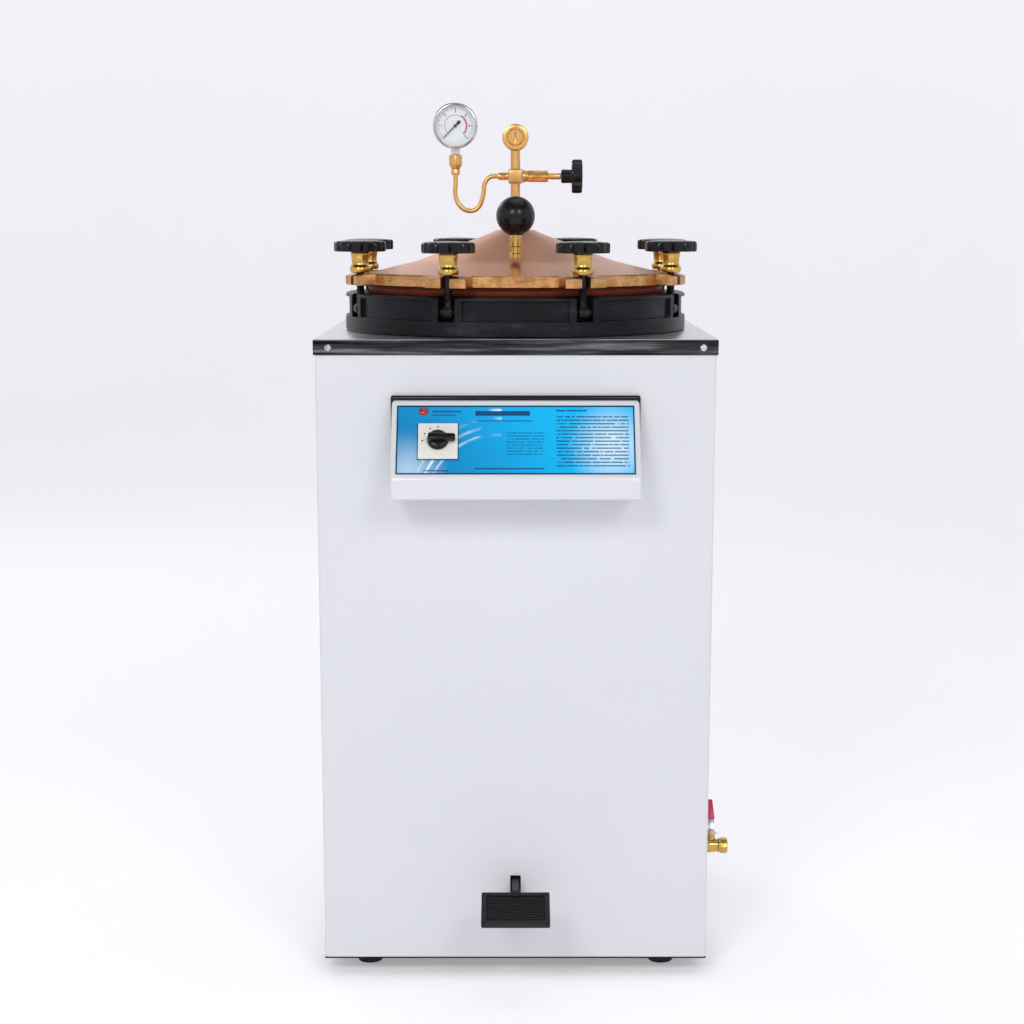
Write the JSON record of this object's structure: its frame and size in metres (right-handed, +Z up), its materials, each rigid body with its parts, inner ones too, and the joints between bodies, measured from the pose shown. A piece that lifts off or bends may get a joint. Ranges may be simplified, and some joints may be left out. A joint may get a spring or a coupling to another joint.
{
  "type": "vertical autoclave",
  "caption": "Floor-standing top-loading steam autoclave: white cabinet, stainless chamber, bronze lid on swing-bolt clamps, gauge, vent and safety valves, console and foot pedal.",
  "frame": {"origin": "bottom centre of the whole machine's box, on the floor", "axes": "+Z up, -Y towards the user at the front with the console and pedal, +X to the right with the drain valve"},
  "size_m": [0.4714, 0.5672, 0.9924],
  "materials": {
    "white_enamel": "smooth white powder coat",
    "stainless": "polished stainless sheet",
    "cast_collar": "satin black casting",
    "black_iron": "blackened steel",
    "red_rubber": "moulded silicone rubber",
    "bronze": "polished bronze casting with a file-finished flange",
    "brass": "turned brass",
    "black_plastic": "glossy moulded phenolic",
    "black_rubber": "ribbed rubber",
    "dial_white": "printed dial",
    "clear_glass": "clear lens",
    "blue_overlay": "printed polyester overlay",
    "cream_plastic": "cream moulded plate",
    "red_lamp": "red lens",
    "red_grip": "red dipped grip on plated steel",
    "heater_sheath": "heat-stained sheath"
  },
  "bodies": {
    "cabinet": {"back_panel": "white_enamel", "base_plate": "black_iron", "cabinet_wrap": "white_enamel", "chamber": "stainless", "collar_ring": "cast_collar", "console_housing": "white_enamel", "console_overlay": "blue_overlay", "drain_pipe": "brass", "drain_valve_body": "brass", "foot_front_left": "black_rubber", "foot_front_right": "black_rubber", "foot_rear_left": "black_rubber", "foot_rear_right": "black_rubber", "gasket": "red_rubber", "heating_element": "heater_sheath", "mains_gland": "black_plastic", "pedal_axle": "stainless", "pilot_lamp": "red_lamp", "skirt_screw_left": "stainless", "skirt_screw_right": "stainless", "switch_plate": "cream_plastic", "top_plate": "stainless"},
    "lid": {"lid": "bronze", "lid_arm": "bronze", "lift_post": "stainless", "handle_stem": "brass", "handle_ball": "black_plastic", "lid_column": "brass", "cross_block": "brass", "safety_valve": "brass", "siphon_nipple": "brass", "siphon_tube": "brass", "gauge_nut": "brass", "gauge_case": "stainless", "gauge_dial": "dial_white", "gauge_lens": "clear_glass", "vent_valve_body": "brass"},
    "needle": {"gauge_needle": "black_iron"},
    "vent_spindle": {"vent_stem": "brass", "vent_knob": "black_plastic"},
    "pedal": {"pedal_arm": "black_iron", "pedal_pad": "black_rubber"},
    "selector": {"selector_knob": "black_plastic"},
    "drain_handle": {"drain_lever": "red_grip"},
    "clamp_1": {"swing_bolt_1": "black_iron"},
    "wheel_1": {"clamp_wheel_1": "black_plastic"},
    "clamp_2": {"swing_bolt_2": "black_iron"},
    "wheel_2": {"clamp_wheel_2": "black_plastic"},
    "clamp_3": {"swing_bolt_3": "black_iron"},
    "wheel_3": {"clamp_wheel_3": "black_plastic"},
    "clamp_4": {"swing_bolt_4": "black_iron"},
    "wheel_4": {"clamp_wheel_4": "black_plastic"},
    "clamp_5": {"swing_bolt_5": "black_iron"},
    "wheel_5": {"clamp_wheel_5": "black_plastic"},
    "clamp_6": {"swing_bolt_6": "black_iron"},
    "wheel_6": {"clamp_wheel_6": "black_plastic"},
    "clamp_7": {"swing_bolt_7": "black_iron"},
    "wheel_7": {"clamp_wheel_7": "black_plastic"},
    "clamp_8": {"swing_bolt_8": "black_iron"},
    "wheel_8": {"clamp_wheel_8": "black_plastic"}
  },
  "joints": [
    {"name": "lid_lift", "type": "slide", "parent": "cabinet", "child": "lid", "axis": [0, 0, 1], "range_m": [0, 0.012]},
    {"name": "pedal_press", "type": "hinge", "parent": "cabinet", "child": "pedal", "pos_m": [-0.01385, 0.08786, 0.105], "axis": [1, 0, 0], "range_deg": [0, 3.9]},
    {"name": "gauge_needle_sweep", "type": "hinge", "parent": "lid", "child": "needle", "pos_m": [-0.08435, 0.04786, 0.9659], "axis": [0, 1, 0], "range_deg": [0, 270]},
    {"name": "drain_lever_turn", "type": "hinge", "parent": "cabinet", "child": "drain_handle", "pos_m": [0.21665, -0.10214, 0.1488], "axis": [0, 0, -1], "range_deg": [0, 90]},
    {"name": "vent_knob_turn", "type": "hinge", "parent": "lid", "child": "vent_spindle", "pos_m": [0.03615, 0.04786, 0.9079], "axis": [1, 0, 0], "continuous": true},
    {"name": "heat_selector_turn", "type": "hinge", "parent": "cabinet", "child": "selector", "pos_m": [-0.09785, -0.21676, 0.62213], "axis": [0, -0.8256, 0.5643], "range_deg": [0, 90]},
    {"name": "clamp_1_swing", "type": "hinge", "parent": "cabinet", "child": "clamp_1", "pos_m": [0.06039, -0.13138, 0.757], "axis": [0.9239, 0.3827, 0], "range_deg": [0, 90]},
    {"name": "wheel_1_turn", "type": "hinge", "parent": "clamp_1", "child": "wheel_1", "pos_m": [0.06039, -0.13138, 0.7981], "axis": [0, 0, 1], "range_deg": [0, 1080]},
    {"name": "clamp_2_swing", "type": "hinge", "parent": "cabinet", "child": "clamp_2", "pos_m": [0.16538, -0.02638, 0.757], "axis": [0.3827, 0.9239, 0], "range_deg": [0, 90]},
    {"name": "wheel_2_turn", "type": "hinge", "parent": "clamp_2", "child": "wheel_2", "pos_m": [0.16538, -0.02638, 0.7981], "axis": [0, 0, 1], "range_deg": [0, 1080]},
    {"name": "clamp_3_swing", "type": "hinge", "parent": "cabinet", "child": "clamp_3", "pos_m": [0.16538, 0.1221, 0.757], "axis": [-0.3827, 0.9239, 0], "range_deg": [0, 90]},
    {"name": "wheel_3_turn", "type": "hinge", "parent": "clamp_3", "child": "wheel_3", "pos_m": [0.16538, 0.1221, 0.7981], "axis": [0, 0, 1], "range_deg": [0, 1080]},
    {"name": "clamp_4_swing", "type": "hinge", "parent": "cabinet", "child": "clamp_4", "pos_m": [0.06039, 0.22709, 0.757], "axis": [-0.9239, 0.3827, 0], "range_deg": [0, 90]},
    {"name": "wheel_4_turn", "type": "hinge", "parent": "clamp_4", "child": "wheel_4", "pos_m": [0.06039, 0.22709, 0.7981], "axis": [0, 0, 1], "range_deg": [0, 1080]},
    {"name": "clamp_5_swing", "type": "hinge", "parent": "cabinet", "child": "clamp_5", "pos_m": [-0.08809, 0.22709, 0.757], "axis": [-0.9239, -0.3827, 0], "range_deg": [0, 90]},
    {"name": "wheel_5_turn", "type": "hinge", "parent": "clamp_5", "child": "wheel_5", "pos_m": [-0.08809, 0.22709, 0.7981], "axis": [0, 0, 1], "range_deg": [0, 1080]},
    {"name": "clamp_6_swing", "type": "hinge", "parent": "cabinet", "child": "clamp_6", "pos_m": [-0.19308, 0.1221, 0.757], "axis": [-0.3827, -0.9239, 0], "range_deg": [0, 90]},
    {"name": "wheel_6_turn", "type": "hinge", "parent": "clamp_6", "child": "wheel_6", "pos_m": [-0.19308, 0.1221, 0.7981], "axis": [0, 0, 1], "range_deg": [0, 1080]},
    {"name": "clamp_7_swing", "type": "hinge", "parent": "cabinet", "child": "clamp_7", "pos_m": [-0.19308, -0.02638, 0.757], "axis": [0.3827, -0.9239, 0], "range_deg": [0, 90]},
    {"name": "wheel_7_turn", "type": "hinge", "parent": "clamp_7", "child": "wheel_7", "pos_m": [-0.19308, -0.02638, 0.7981], "axis": [0, 0, 1], "range_deg": [0, 1080]},
    {"name": "clamp_8_swing", "type": "hinge", "parent": "cabinet", "child": "clamp_8", "pos_m": [-0.08809, -0.13138, 0.757], "axis": [0.9239, -0.3827, 0], "range_deg": [0, 90]},
    {"name": "wheel_8_turn", "type": "hinge", "parent": "clamp_8", "child": "wheel_8", "pos_m": [-0.08809, -0.13138, 0.7981], "axis": [0, 0, 1], "range_deg": [0, 1080]}
  ],
  "couplings": [
    {"joint": "pedal_press", "follows": "lid_lift", "rad_per_m": 5.6718},
    {"joint": "clamp_1_swing", "follows": "lid_lift", "rad_per_m": 130.89},
    {"joint": "clamp_2_swing", "follows": "lid_lift", "rad_per_m": 130.89},
    {"joint": "clamp_3_swing", "follows": "lid_lift", "rad_per_m": 130.89},
    {"joint": "clamp_4_swing", "follows": "lid_lift", "rad_per_m": 130.89},
    {"joint": "clamp_5_swing", "follows": "lid_lift", "rad_per_m": 130.89},
    {"joint": "clamp_6_swing", "follows": "lid_lift", "rad_per_m": 130.89},
    {"joint": "clamp_7_swing", "follows": "lid_lift", "rad_per_m": 130.89},
    {"joint": "clamp_8_swing", "follows": "lid_lift", "rad_per_m": 130.89}
  ]
}
